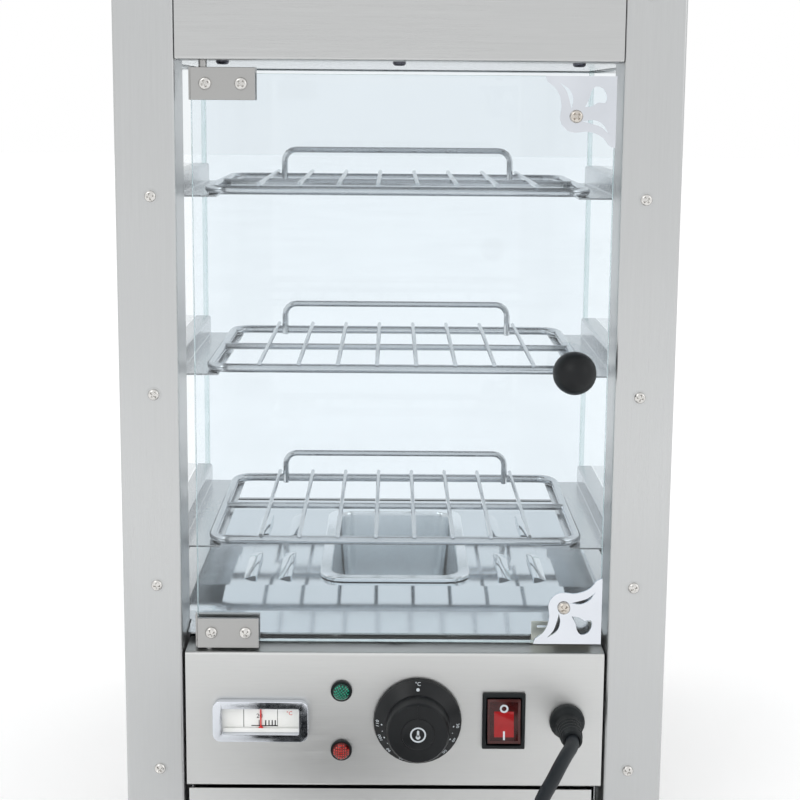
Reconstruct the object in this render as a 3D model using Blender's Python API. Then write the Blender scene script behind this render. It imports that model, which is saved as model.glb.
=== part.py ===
"""Countertop food holding cabinet: glass door on two pivots, three wire shelves, heated base.

Lengths in this script are millimetres. A place is given as x (left to right), depth (from the front
face of the posts towards the back) and z (up from the surface that the cabinet stands on), and
place() turns it into Blender's metres, with the origin under the middle of the cabinet.
"""

import math

import bmesh
import bpy
from mathutils import Matrix, Vector

# Driving dimensions of the cabinet
WIDTH = 350.0
DEPTH = 370.0
HEIGHT = 620.0
FOOT_HEIGHT = 20.0
POST = 37.6
BASE_TOP = 162.0
OPENING_TOP = 540.0
PANEL_BOTTOM = 70.3
SHEET = 1.2
GAP = 0.3
KNOB_FRONT = -26.0
GLAND_NOSE = -24.0

HALF = WIDTH / 2
OPENING_HALF = HALF - POST
MIDDLE_DEPTH = (DEPTH + KNOB_FRONT) / 2
ROOF_THICKNESS = 1.3
FRAME_TOP = HEIGHT - ROOF_THICKNESS - GAP
CASE_BOTTOM = FOOT_HEIGHT + GAP
LIP = 4.4
CASE_FRONT = POST + GAP
CASE_BACK = DEPTH - LIP + 0.1

# Glass walls
GLASS = 4.0
GLASS_X = 165.0
GLASS_BACK = 365.2
GLASS_Z = (152.0, 550.0)

# Door and its hinge line
DOOR_X = (-128.3, 133.7)
DOOR_Z = (167.5, 532.0)
DOOR_DEPTH = (6.0, 11.0)
HINGE_X = -121.0
HINGE_DEPTH = 8.5
PIN_RADIUS = 2.6
PIN_HOLE_RADIUS = 2.95
CLAMP = (40.0, 20.0, 2.5)
KNOB_X = 110.0
KNOB_Z = sum(DOOR_Z) / 2
CORNER_SCREW = 24.6

# Shelves
SHELF_LEVELS = {"bottom": 204.0, "middle": 329.0, "top": 454.0}
SHELF_WIDTH = 270.0
SHELF_FRONT = 105.0
SHELF_BACK = 285.0
RAIL_RADIUS = 3.25
WIRE_RADIUS = 1.6
WIRE_PITCH = 27.4
WIRE_COUNT = 8
LOOP_RADIUS = 2.5
LOOP_HALF = 90.5
LOOP_HEIGHT = 22.0
BRACKET_WEB_X = 153.1
BRACKET_LEDGE_X = 125.0

# Floor plate and water pan
PLATE_X = (-140.5, 144.5)
PLATE_TOP = 176.0
PAN_DEPTH = 186.0
LOUVRE_X = (-100.0, -75.0, 75.0, 100.0)
LOUVRE_STARTS = (105.0, 207.0)
LOUVRE_LENGTH = 60.0

# Control panel
CONTROL_Z = 116.5
PANEL_FACE = 0.8
THERMOMETER_X = -87.1
PILOT_X = -34.6
PILOT_Z = {"pilot_green": 136.4, "pilot_red": 95.8}
THERMOSTAT_X = 15.0
SWITCH_X = 71.2
GLAND_X = 112.5
ROCKER_TILT = math.radians(8)
ROCKER_DEPTH = 5.0
POINTER_Z = 110.2

# Cord: 1.8 m from the gland to the plug
CORD_RADIUS = 4.3
CORD_ROUTE = (
    (112.5, -24.3, 116.5),
    (112.2, -31.5, 116.6),
    (110.6, -39.3, 116.8),
    (106.9, -48.9, 117.2),
    (101.7, -60.0, 115.1),
    (95.1, -71.3, 109.5),
    (87.9, -83.4, 103.7),
    (83.0, -96.2, 95.9),
    (78.5, -107.7, 85.5),
    (75.8, -117.7, 72.5),
    (74.0, -126.6, 57.9),
    (72.6, -136.0, 43.2),
    (70.4, -147.2, 29.6),
    (66.8, -160.6, 18.0),
    (61.2, -176.0, 9.4),
    (52.8, -191.6, 5.0),
    (41.4, -206.0, 4.5),
    (26.4, -218.8, 4.5),
    (9.6, -228.2, 4.5),
    (-11.6, -232.6, 4.5),
)
COIL_CENTRE = (-42.0, -183.6)
COIL_RADII = (40.6, 49.3)
COIL_LAYERS = 3
PLUG_RADIUS = 18.0
PLUG_START = (-62.0, -242.2)


def place(x, depth, z):
    return Vector((x, depth - MIDDLE_DEPTH, z)) * 0.001


# Materials -------------------------------------------------------------------------------------


def make_material(name, colour, roughness, metallic=0.0, transmission=0.0):
    material = bpy.data.materials.new(name)
    material.use_nodes = True
    shader = material.node_tree.nodes["Principled BSDF"]
    shader.inputs["Base Color"].default_value = (*colour, 1.0)
    shader.inputs["Roughness"].default_value = roughness
    shader.inputs["Metallic"].default_value = metallic
    shader.inputs["Transmission Weight"].default_value = transmission
    return material


# Meshes ----------------------------------------------------------------------------------------


def finish_mesh(bm, name, smooth=False):
    bmesh.ops.recalc_face_normals(bm, faces=bm.faces)
    mesh = bpy.data.meshes.new(name)
    bm.to_mesh(mesh)
    bm.free()
    if smooth:
        mesh.shade_smooth()
        mesh.set_sharp_from_angle(angle=math.radians(35))
    return mesh


def add_object(name, mesh, material=None, origin=None):
    """Links a mesh made in world space, with the object's own origin moved to a chosen place."""
    obj = bpy.data.objects.new(name, mesh)
    bpy.context.scene.collection.objects.link(obj)
    if material:
        mesh.materials.append(material)
    if origin:
        mesh.transform(Matrix.Translation(-place(*origin)))
        obj.location = place(*origin)
    return obj


def box_into(bm, x, depth, z):
    corners = [bm.verts.new(place(a, b, c)) for c in z for b in depth for a in x]
    for face in ((0, 2, 3, 1), (4, 5, 7, 6), (0, 1, 5, 4), (2, 6, 7, 3), (0, 4, 6, 2), (1, 3, 7, 5)):
        bm.faces.new([corners[i] for i in face])


def boxes(name, *spans, material=None, origin=None, bevel=0.0):
    bm = bmesh.new()
    for x, depth, z in spans:
        box_into(bm, x, depth, z)
    bmesh.ops.recalc_face_normals(bm, faces=bm.faces)
    if bevel:
        bmesh.ops.bevel(bm, geom=bm.edges[:], offset=bevel * 0.001, segments=2, profile=0.5, affect="EDGES")
    return add_object(name, finish_mesh(bm, name), material, origin)


def extrude(name, outline, axis, span, material=None, origin=None, smooth=False):
    """A flat outline pushed along one axis: x takes (depth, z), depth takes (x, z), z takes (x, depth)."""
    order = {"x": lambda a, b, c: (c, a, b), "depth": lambda a, b, c: (a, c, b), "z": lambda a, b, c: (a, b, c)}
    bm = bmesh.new()
    rings = [[bm.verts.new(place(*order[axis](a, b, end))) for a, b in outline] for end in span]
    count = len(outline)
    bm.faces.new(rings[0])
    bm.faces.new(rings[1])
    for i in range(count):
        j = (i + 1) % count
        bm.faces.new((rings[0][i], rings[0][j], rings[1][j], rings[1][i]))
    return add_object(name, finish_mesh(bm, name, smooth), material, origin)


def ring_faces(bm, rings, closed_profile):
    count = len(rings[0])
    pairs = len(rings) if closed_profile else len(rings) - 1
    for i in range(pairs):
        here, there = rings[i], rings[(i + 1) % len(rings)]
        for k in range(count):
            m = (k + 1) % count
            corners = [here[k], here[m], there[m], there[k]]
            unique = list(dict.fromkeys(corners))
            if len(unique) > 2:
                bm.faces.new(unique)


def revolve(name, profile, centre, axis="depth", material=None, origin=None, segments=32):
    """Turns (radius, along) points about an axis through centre. Points at radius 0 close the ends."""
    bm = bmesh.new()
    rings = []
    for radius, along in profile:
        ring = []
        for k in range(segments):
            angle = 2 * math.pi * k / segments
            a, b = radius * math.cos(angle), radius * math.sin(angle)
            offset = {"depth": (a, along, b), "z": (a, b, along), "x": (along, a, b)}[axis]
            ring.append(place(*(c + o for c, o in zip(centre, offset))))
        if radius == 0:
            rings.append([bm.verts.new(ring[0])] * segments)
        else:
            rings.append([bm.verts.new(point) for point in ring])
    ring_faces(bm, rings, closed_profile=profile[0][0] != 0)
    return add_object(name, finish_mesh(bm, name, smooth=True), material, origin)


def arc(centre, radius, start, end, steps):
    """Points on a circle arc, angles in degrees."""
    angles = [math.radians(start + (end - start) * i / steps) for i in range(steps + 1)]
    return [(centre[0] + radius * math.cos(a), centre[1] + radius * math.sin(a)) for a in angles]


def turn_between(start, end):
    return math.atan2(start.x * end.y - start.y * end.x, start.dot(end))


def rounded_path(points, radius, steps, closed=False):
    """Replaces each corner of a path by an arc. Works in two or three dimensions."""
    path = [Vector(p) for p in points]
    count = len(path)
    result = []
    for i, corner in enumerate(path):
        if not closed and i in (0, count - 1):
            result.append(corner)
            continue
        back = (path[i - 1] - corner).normalized()
        ahead = (path[(i + 1) % count] - corner).normalized()
        half = back.angle(ahead) / 2
        middle = corner + (back + ahead).normalized() * (radius / math.sin(half))
        start = corner + back * (radius / math.tan(half))
        end = corner + ahead * (radius / math.tan(half))
        for k in range(steps + 1):
            if len(corner) == 3:
                offset = (start - middle).slerp(end - middle, k / steps) * radius
            else:
                offset = (start - middle).copy()
                offset.rotate(Matrix.Rotation(turn_between(start - middle, end - middle) * k / steps, 2))
            result.append(middle + offset)
    return result


def folded_sheet(points, bend=1.4, thickness=SHEET):
    """Outline of a bent sheet whose mid line follows the points."""
    middle = rounded_path(points, bend, 3)
    sides = ([], [])
    for i, point in enumerate(middle):
        before = (point - middle[i - 1]).normalized() if i else (middle[1] - point).normalized()
        after = (middle[i + 1] - point).normalized() if i < len(middle) - 1 else before
        across = Vector((-(before + after).y, (before + after).x)).normalized()
        reach = thickness / 2 / max(across.dot(Vector((-before.y, before.x))), 0.5)
        sides[0].append(tuple(point + across * reach))
        sides[1].append(tuple(point - across * reach))
    return sides[0] + sides[1][::-1]


def tube(name, points, radius, sides=10, closed=False, material=None):
    """A round wire along a path, its points spaced evenly enough to turn with it."""
    path = [place(*p) for p in points]
    count = len(path)
    bm = bmesh.new()
    rings = []
    side = None
    for i, point in enumerate(path):
        before = path[i - 1] if closed or i else point
        after = path[(i + 1) % count] if closed or i < count - 1 else point
        ahead = (after - before).normalized()
        side = side - ahead * side.dot(ahead) if side else ahead.orthogonal()
        side.normalize()
        up = ahead.cross(side)
        turns = [2 * math.pi * k / sides for k in range(sides)]
        rings.append([bm.verts.new(point + (side * math.cos(t) + up * math.sin(t)) * radius * 0.001)
                      for t in turns])
    ring_faces(bm, rings, closed)
    if not closed:
        bm.faces.new(rings[0])
        bm.faces.new(rings[-1])
    return add_object(name, finish_mesh(bm, name, smooth=True), material)


def combine(obj, operation, helpers, smooth_angle=None):
    """Joins helpers to an object, or cuts them out of it, and keeps the result as the object's mesh."""
    for helper in helpers:
        helper.hide_render = True
        helper.display_type = "WIRE"
        modifier = obj.modifiers.new(operation.title(), "BOOLEAN")
        modifier.operation = operation
        modifier.solver = "EXACT"
        modifier.object = helper
    graph = bpy.context.evaluated_depsgraph_get()
    result = bpy.data.meshes.new_from_object(obj.evaluated_get(graph))
    obj.modifiers.clear()
    obj.data = result
    for helper in helpers:
        bpy.data.objects.remove(helper)
    if smooth_angle:
        result.shade_smooth()
        result.set_sharp_from_angle(angle=math.radians(smooth_angle))
    return obj


def cut(obj, *helpers, smooth_angle=None):
    return combine(obj, "DIFFERENCE", helpers, smooth_angle)


def join(obj, *helpers, smooth_angle=None):
    return combine(obj, "UNION", helpers, smooth_angle)


def rod(centre, radius, span, axis="depth", segments=20):
    """A plain round cutter or stud."""
    profile = [(0, span[0]), (radius, span[0]), (radius, span[1]), (0, span[1])]
    return revolve("rod", profile, centre, axis, segments=segments)


def mirrored(points, side):
    return [(x * side, other) for x, other in points]


def span(side, inner, outer):
    """An x span on one side of the cabinet: side is -1 on the left and 1 on the right."""
    return tuple(sorted((side * inner, side * outer)))


SIDES = {"left": -1, "right": 1}


# Frame -----------------------------------------------------------------------------------------


def build_posts(steel):
    half = SHEET / 2
    back = POST - half
    path = [(GLASS_X + 5.4, back), (HALF - half, back), (HALF - half, half), (OPENING_HALF + half, half),
            (OPENING_HALF + half, back), (GLASS_X - 1.6, back)]
    for name, side in SIDES.items():
        outline = mirrored(folded_sheet(path), side)
        extrude(f"front_post_{name}", outline, "z", (FOOT_HEIGHT, FRAME_TOP), steel, smooth=False)


def build_headers(steel):
    half = SHEET / 2
    low = OPENING_TOP + half
    top = FRAME_TOP - half
    path = [(14.0, top), (half, top), (half, low), (POST - half, low), (POST - half, low + 15.0)]
    reach = OPENING_HALF - GAP
    front = extrude("header_front", folded_sheet(path), "x", (-reach, reach), steel)
    cut(front, rod((HINGE_X, HINGE_DEPTH, 0), PIN_HOLE_RADIUS, (OPENING_TOP - 2, OPENING_TOP + 4), "z"))
    for name, side in SIDES.items():
        tray(f"header_{name}", span(side, HALF - LIP, HALF), (CASE_FRONT, CASE_BACK - GAP),
             (OPENING_TOP, FRAME_TOP), steel, side)
    back_tray("header_rear", (OPENING_TOP, FRAME_TOP), steel)


def tray(name, x, depth, z, material, side):
    """A side panel folded in at all four edges, open towards the inside of the cabinet."""
    panel = boxes(name, (x, depth, z), material=material)
    inner_x = span(side, HALF - LIP - 2, HALF - SHEET)
    hollow = (inner_x, (depth[0] + SHEET, depth[1] - SHEET), (z[0] + SHEET, z[1] - SHEET))
    return cut(panel, boxes("hollow", hollow))


def back_tray(name, z, material):
    """A rear panel folded forward at all four edges."""
    panel = boxes(name, ((-HALF, HALF), (CASE_BACK, DEPTH), z), material=material)
    hollow = ((-HALF + SHEET, HALF - SHEET), (CASE_BACK - 2, DEPTH - SHEET), (z[0] + SHEET, z[1] - SHEET))
    return cut(panel, boxes("hollow", hollow))


def build_roof(steel):
    bottom = HEIGHT - ROOF_THICKNESS
    roof = boxes("roof_panel", ((-HALF, HALF), (0, DEPTH), (bottom, HEIGHT)), material=steel)
    lip_z = (bottom - 11.0, bottom + 0.5)
    lips = [((-135.0, 135.0), (15.0, 16.2), lip_z), ((-167.0, 167.0), (363.5, 364.7), lip_z)]
    lips += [(span(side, 168.7, 169.9), (40.0, 363.0), lip_z) for side in SIDES.values()]
    for lip in lips:
        join(roof, boxes("lip", lip))


def build_ceiling(steel):
    x = (-163.2, 163.2)
    depth = (CASE_FRONT, 360.4)
    ceiling = boxes("ceiling_panel", (x, depth, (OPENING_TOP + 1.5, OPENING_TOP + 12)), material=steel)
    inner = (OPENING_TOP + 1.5 + SHEET, OPENING_TOP + 14)
    hollow = boxes("hollow", ((x[0] + SHEET, x[1] - SHEET), (depth[0] + SHEET, depth[1] - SHEET), inner))
    cut(ceiling, hollow)


def build_glass_walls(glass):
    for name, side in SIDES.items():
        boxes(f"side_glass_{name}", (span(side, GLASS_X, GLASS_X + GLASS), (20.0, GLASS_BACK), GLASS_Z),
              material=glass)
    reach = GLASS_X - GAP
    boxes("rear_glass", ((-reach, reach), (GLASS_BACK - GAP - GLASS, GLASS_BACK - GAP), GLASS_Z), material=glass)


# Base ------------------------------------------------------------------------------------------


def build_base_case(steel):
    z = (CASE_BOTTOM, BASE_TOP - 0.5)
    for name, side in SIDES.items():
        panel = tray(f"base_side_{name}", span(side, HALF - LIP, HALF), (CASE_FRONT, CASE_BACK - GAP), z,
                     steel, side)
        slots = [(span(side, HALF - 3, HALF + 2), (150 + 14 * i, 155 + 14 * i), (80.0, 120.0)) for i in range(8)]
        cut(panel, boxes("slots", *slots))
    rear = back_tray("base_rear", z, steel)
    slots = [((-52 + 14 * i, -47 + 14 * i), (DEPTH - 3, DEPTH + 2), (80.0, 120.0)) for i in range(8)]
    cut(rear, boxes("slots", *slots))
    front_x = OPENING_HALF - 0.5
    outline = [(-front_x, 1.5), (front_x, 1.5), (front_x, 38.0), (170, 38.0), (170, 365.2), (-170, 365.2),
               (-170, 38.0), (-front_x, 38.0)]
    extrude("base_bottom", outline, "z", (CASE_BOTTOM, CASE_BOTTOM + SHEET), steel)


def build_deck(steel):
    """The ring between base and glass: a top flange, a wall down and a ledge for the floor plate."""
    wall = (-147.0, 146.5)
    ledge = (-138.5, 138.0)
    bottom = 146.0
    flange = BASE_TOP - SHEET
    front, back = 38.2, 359.8
    deck = boxes("deck", ((-163.4, 163.4), (front, back), (bottom, BASE_TOP)), material=steel)
    cut(
        deck,
        boxes("opening", (wall, (front - 3, 352.0), (bottom + SHEET, BASE_TOP + 2))),
        boxes("ledge", (ledge, (front - 3, 343.0), (bottom - 3, bottom + 5))),
        boxes("under", ((-170, wall[0] - SHEET), (front - 3, back + 3), (bottom - 3, flange)),
              ((wall[1] + SHEET, 170), (front - 3, back + 3), (bottom - 3, flange))),
        boxes("under_rear", ((-170, 170), (352.0 + SHEET, back + 3), (bottom - 3, flange))),
    )


def build_tray_housing(steel):
    housing = boxes("tray_housing", ((-136.9, 136.9), (30.0, 360.0), (22.1, 71.5)), material=steel)
    cut(housing, boxes("inside", ((-135.7, 135.7), (10.0, 364.0), (15.0, PANEL_BOTTOM))))


def build_feet(rubber):
    profile = [(0, 0), (13.0, 0), (14.0, 1.0), (16.0, 17.5), (16.0, FOOT_HEIGHT - GAP), (0, FOOT_HEIGHT - GAP)]
    for name, side in SIDES.items():
        for end, depth in (("front", 20.0), ("rear", 345.0)):
            revolve(f"foot_{end}_{name}", profile, (side * 152.0, depth, 0), "z", rubber, segments=20)


def build_heater(sheath):
    depth_near, depth_far, z = 80.0, 318.0, 98.0
    runs = (-105.0, -35.0, 35.0, 105.0)
    points = [(runs[0], 56.0, z), (runs[0], depth_far, z), (runs[1], depth_far, z), (runs[1], depth_near, z),
              (runs[2], depth_near, z), (runs[2], depth_far, z), (runs[3], depth_far, z), (runs[3], 56.0, z)]
    tube("heating_element", rounded_path(points, 22.0, 5), 4.0, 8, material=sheath)
    support = boxes("heater_support", ((-120.0, 120.0), (190.0, 191.5), (71.8, 93.5)), material=sheath)
    foot = boxes("foot", ((-120.0, 120.0), (190.0, 204.0), (71.8, 73.0)))
    join(support, foot)


# Interior --------------------------------------------------------------------------------------


def louvre_hood(x, start, side):
    """A pressed hood beside a slot, highest at the slot's edge and running out into the plate."""
    bm = bmesh.new()
    stations = 6
    width, height, base = 8.0, 3.4, PLATE_TOP - 0.6
    sections = []
    for i in range(stations + 1):
        along = i / stations
        rise = height * math.sin(math.pi * (0.06 + 0.88 * along)) ** 0.6
        points = [(0.0, 0.0), (0.0, rise), (0.35, rise * 0.9), (0.7, rise * 0.55), (1.0, 0.0)]
        depth = start + LOUVRE_LENGTH * along
        sections.append([bm.verts.new(place(x + side * (0.5 + width * a), depth, base + b)) for a, b in points])
    ring_faces(bm, sections, False)
    bm.faces.new(sections[0])
    bm.faces.new(sections[-1])
    return add_object("hood", finish_mesh(bm, "hood"))


def build_floor_plate(polished):
    middle = PLATE_TOP - SHEET / 2
    path = [(21.8, 167.0), (50.0, 171.6), (92.0, middle), (280.0, middle), (322.0, 171.6), (350.0, 163.4),
            (350.0, 148.2)]
    plate = extrude("floor_plate", folded_sheet(path, bend=2.0), "x", PLATE_X, polished)
    skirt = [(38.6, 147.6), (38.6, 168.4), (50.0, 171.4), (92.0, middle - 0.2), (280.0, middle - 0.2),
             (322.0, 171.4), (349.8, 163.2), (349.8, 148.2), (340.0, 147.6)]
    for x in ((PLATE_X[0], PLATE_X[0] + SHEET), (PLATE_X[1] - SHEET, PLATE_X[1])):
        join(plate, extrude("skirt", skirt, "x", x))
    corners = [(span(side, OPENING_HALF - 0.7, 150), (10.0, 38.3), (140.0, 180.0)) for side in (-1, 1)]
    slots = [((x - 0.8, x + 0.8), (start + 3, start + LOUVRE_LENGTH - 3), (170.0, 180.0))
             for x in LOUVRE_X for start in LOUVRE_STARTS]
    hole = extrude("hole", rounded_rectangle(49.0, 83.0, 14.0, 5, (0, PAN_DEPTH)), "z", (170.0, 180.0))
    cut(plate, boxes("corners", *corners), hole, boxes("slots", *slots))
    for x in LOUVRE_X:
        for start in LOUVRE_STARTS:
            join(plate, louvre_hood(x, start, 1 if x > 0 else -1))


def rounded_rectangle(half_x, half_y, radius, steps, centre=(0.0, 0.0)):
    points = []
    for sx, sy, start in ((1, 1, 0), (-1, 1, 90), (-1, -1, 180), (1, -1, 270)):
        corner = (centre[0] + sx * (half_x - radius), centre[1] + sy * (half_y - radius))
        points += arc(corner, radius, start, start + 90, steps)
    return points


def build_water_pan(satin):
    """Rings from the outside bottom up, over the rolled rim and down to the inside bottom."""
    rings = (
        (36.5, 70.5, 10.0, 113.2), (41.0, 75.0, 12.0, 117.5), (46.0, 80.0, 13.5, 176.0), (46.6, 80.6, 13.8, 178.2),
        (52.8, 86.8, 16.4, 178.2), (52.9, 86.9, 16.4, 176.6), (54.0, 88.0, 17.0, 176.6), (54.0, 88.0, 17.0, 178.7),
        (53.2, 87.2, 16.6, 179.5), (46.8, 80.8, 14.0, 179.3), (45.0, 79.0, 13.0, 176.5), (40.0, 74.0, 12.0, 118.0),
        (36.0, 70.0, 10.0, 114.2),
    )
    bm = bmesh.new()
    loops = []
    for half_x, half_depth, radius, z in rings:
        outline = rounded_rectangle(half_x, half_depth, radius, 4, (0, PAN_DEPTH))
        loops.append([bm.verts.new(place(x, depth, z)) for x, depth in outline])
    ring_faces(bm, loops, False)
    bm.faces.new(loops[0])
    bm.faces.new(loops[-1])
    add_object("water_pan", finish_mesh(bm, "water_pan", smooth=True), satin)


def shelf_frame(name, chrome):
    """One shelf at z 0: outer rail, cross bar, wires on top and the guard loop at the back."""
    half_x = SHELF_WIDTH / 2 - RAIL_RADIUS
    near, far = SHELF_FRONT + RAIL_RADIUS, SHELF_BACK - RAIL_RADIUS
    corners = [(-half_x, near, 0), (half_x, near, 0), (half_x, far, 0), (-half_x, far, 0)]
    shelf = tube(name, rounded_path(corners, 14.0, 4, closed=True), RAIL_RADIUS, 10, closed=True, material=chrome)
    middle = (near + far) / 2
    parts = [tube("cross_bar", [(-half_x, middle, 0.6), (half_x, middle, 0.6)], 2.5, 8)]
    wire_z = RAIL_RADIUS + WIRE_RADIUS - 0.45
    for i in range(WIRE_COUNT):
        x = (i - (WIRE_COUNT - 1) / 2) * WIRE_PITCH
        parts.append(tube("wire", [(x, SHELF_FRONT - 0.5, wire_z), (x, SHELF_BACK + 0.5, wire_z)], WIRE_RADIUS, 8))
    leg = far - RAIL_RADIUS - LOOP_RADIUS + 1.2
    loop = [(-LOOP_HALF, leg, -3.0), (-LOOP_HALF, leg, LOOP_HEIGHT), (LOOP_HALF, leg, LOOP_HEIGHT),
            (LOOP_HALF, leg, -3.0)]
    parts.append(tube("guard_loop", rounded_path(loop, 9.0, 4), LOOP_RADIUS, 8))
    return join(shelf, *parts, smooth_angle=40)


def build_shelves(chrome):
    first = None
    for level, z in SHELF_LEVELS.items():
        if first is None:
            first = shelf_frame(f"shelf_{level}", chrome)
            shelf = first
        else:
            shelf = add_object(f"shelf_{level}", first.data)
        shelf.location.z = z * 0.001


def build_brackets(steel):
    """Z-shaped shelf supports: a tab on the post, a flange at the glass, a web and a ledge."""
    for level, z in SHELF_LEVELS.items():
        ledge = z - RAIL_RADIUS - GAP - SHEET / 2
        path = [(BRACKET_LEDGE_X, ledge), (BRACKET_WEB_X, ledge), (BRACKET_WEB_X, z + 10), (GLASS_X - 0.6, z + 10)]
        for name, side in SIDES.items():
            outline = mirrored(folded_sheet(path), side)
            bracket = extrude(f"bracket_{level}_{name}", outline, "depth", (CASE_FRONT, SHELF_BACK), steel)
            relief = (span(side, 115.0, BRACKET_WEB_X - 2.2), (30.0, SHELF_FRONT), (ledge - 2, ledge + 2))
            cut(bracket, boxes("relief", relief))
            tab = (span(side, 141.0, BRACKET_WEB_X), (CASE_FRONT, CASE_FRONT + SHEET), (z - 3, z + 8))
            join(bracket, boxes("tab", tab))


# Door ------------------------------------------------------------------------------------------


def build_door_glass(glass):
    pivot = (HINGE_X, HINGE_DEPTH, 0)
    half_x, half_z = (DOOR_X[1] - DOOR_X[0]) / 2, (DOOR_Z[1] - DOOR_Z[0]) / 2
    centre = (sum(DOOR_X) / 2, KNOB_Z)
    outline = rounded_rectangle(half_x, half_z, 3.0, 3, centre)
    door = extrude("door_glass", outline, "depth", DOOR_DEPTH, glass, pivot)
    holes = [rod((KNOB_X, 0, KNOB_Z), 4.5, (0, 16))]
    holes += [rod((DOOR_X[1] - CORNER_SCREW, 0, z), 2.6, (0, 16), segments=12) for z in corner_screw_heights()]
    cut(door, *holes)


def corner_screw_heights():
    return DOOR_Z[0] + CORNER_SCREW, DOOR_Z[1] - CORNER_SCREW


def build_hinges(steel):
    """A front and a back plate grip the glass at each pivot, and the back one carries the pin."""
    pivot = (HINGE_X, HINGE_DEPTH, 0)
    width, height, thickness = CLAMP
    near = DOOR_DEPTH[0] - GAP
    far = DOOR_DEPTH[1] + GAP
    x = (DOOR_X[0], DOOR_X[0] + width)
    rise = 3.7
    for name, edge, way in (("upper", DOOR_Z[1], 1), ("lower", DOOR_Z[0], -1)):
        outer = edge + way * rise
        z = tuple(sorted((outer, outer - way * height)))
        boxes(f"hinge_{name}_front", (x, (near - thickness, near), z), material=steel, origin=pivot, bevel=0.6)
        back = boxes(f"hinge_{name}_back", ((x[0] - 2.0, x[1]), (far, far + 3.5), z), material=steel, origin=pivot)
        web_z = tuple(sorted((outer, edge + way * GAP)))
        join(back, boxes("web", ((x[0] - 1.0, x[1]), (DOOR_DEPTH[0], far + 2.0), web_z)))
        pin_z = tuple(sorted((outer - way, outer + way * 12.0)))
        join(back, rod(pivot, PIN_RADIUS, pin_z, "z"))


def build_door_knob(plastic):
    radius = 13.6
    centre = KNOB_FRONT + radius
    neck = 6.0
    stop = math.degrees(math.asin(neck / radius))
    ball = [(r, d) for d, r in arc((centre, 0), radius, 180, stop, 12)]
    near, far = DOOR_DEPTH[0] - GAP, DOOR_DEPTH[1] + GAP
    profile = [(0, KNOB_FRONT)] + ball[1:] + [(neck, 3.2), (9.0, 4.0), (9.0, near), (4.0, near), (4.0, far),
                                               (7.0, far), (7.0, far + 3.5), (0, far + 3.5)]
    revolve("door_knob", profile, (KNOB_X, 0, KNOB_Z), "depth", plastic, (HINGE_X, HINGE_DEPTH, 0), 28)


def smooth_through(points, steps):
    """Catmull-Rom points through a short list, ends included."""
    path = [Vector(p) for p in points]
    path = [path[0] * 2 - path[1]] + path + [path[-1] * 2 - path[-2]]
    result = []
    for i in range(1, len(path) - 2):
        a, b, c, d = path[i - 1:i + 3]
        for k in range(steps):
            t = k / steps
            result.append(tuple(0.5 * (2 * b + (c - a) * t + (2 * a - 5 * b + 4 * c - d) * t * t
                                       + (3 * b - a - 3 * c + d) * t ** 3)))
    result.append(tuple(path[-2]))
    return result


def corner_plate_outlines():
    """The ornament, measured from the door's corner: edge, two crescent slits and a drop."""
    tail = [(44.0, 0.0), (42.6, 3.6), (38.0, 7.2), (35.0, 12.5), (33.8, 18.8), (34.6, 25.0), (33.4, 29.6)]
    edge = smooth_through(tail + [(b, a) for a, b in reversed(tail)], 2)
    plate = [(0.0, 0.0)] + edge
    outer = smooth_through([(35.0, 4.3), (29.4, 8.0), (26.7, 13.8), (27.6, 20.6)], 3)
    inner = smooth_through([(27.6, 20.6), (29.0, 15.0), (31.0, 9.2), (35.0, 4.3)], 3)
    slit = outer + inner[1:-1]
    drop = smooth_through([(19.4, 18.8), (14.6, 18.2), (11.0, 16.0), (6.8, 16.2), (6.0, 12.4), (8.4, 7.6),
                           (13.0, 6.2), (15.8, 9.6), (16.6, 13.2), (19.4, 18.8)], 2)[:-1]
    return plate, [slit, [(b, a) for a, b in slit], drop]


def build_corner_plates(chrome):
    plate, holes = corner_plate_outlines()
    near = DOOR_DEPTH[0] - GAP
    depth = (near - 1.5, near)
    pivot = (HINGE_X, HINGE_DEPTH, 0)
    for name, z, way in (("upper", DOOR_Z[1], -1), ("lower", DOOR_Z[0], 1)):

        def at_corner(outline):
            return [(DOOR_X[1] - u, z + way * v) for u, v in outline]

        obj = extrude(f"corner_plate_{name}", at_corner(plate), "depth", depth, chrome, pivot)
        cut(obj, *[extrude("hole", at_corner(hole), "depth", (depth[0] - 2, depth[1] + 2)) for hole in holes])
        screw = (DOOR_X[1] - CORNER_SCREW, 0, z + way * CORNER_SCREW)
        stud = [(0, depth[0] - 1.6), (2.4, depth[0] - 1.4), (3.8, depth[0] + 0.2), (3.8, depth[1] - 0.4),
                (2.0, depth[1] - 0.4), (2.0, DOOR_DEPTH[1] - 0.2), (0, DOOR_DEPTH[1] - 0.2)]
        join(obj, revolve("stud", stud, screw, segments=16))


def build_catch(steel, magnet):
    """A slotted angle on the sill carries a magnet, and a strike plate sits behind the door glass."""
    strike_x = DOOR_X[1] - CORNER_SCREW
    boxes("strike_plate", ((strike_x - 7, strike_x + 17), (DOOR_DEPTH[1] + GAP, 12.3), (168.5, 196.0)),
          material=steel, origin=(HINGE_X, HINGE_DEPTH, 0))
    path = [(17.5, 178.0), (17.5, BASE_TOP + 0.9), (27.0, BASE_TOP + 0.9)]
    angle = extrude("catch_angle", folded_sheet(path, bend=0.9), "x", (89.6, 129.0), steel)
    cut(angle, boxes("slot", ((93.3, 103.0), (10.0, 22.0), (173.6, 175.4))))
    boxes("catch_magnet", ((104.0, 127.0), (12.7, 16.6), (165.5, 176.5)), material=magnet, bevel=0.4)


# Controls --------------------------------------------------------------------------------------


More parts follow.
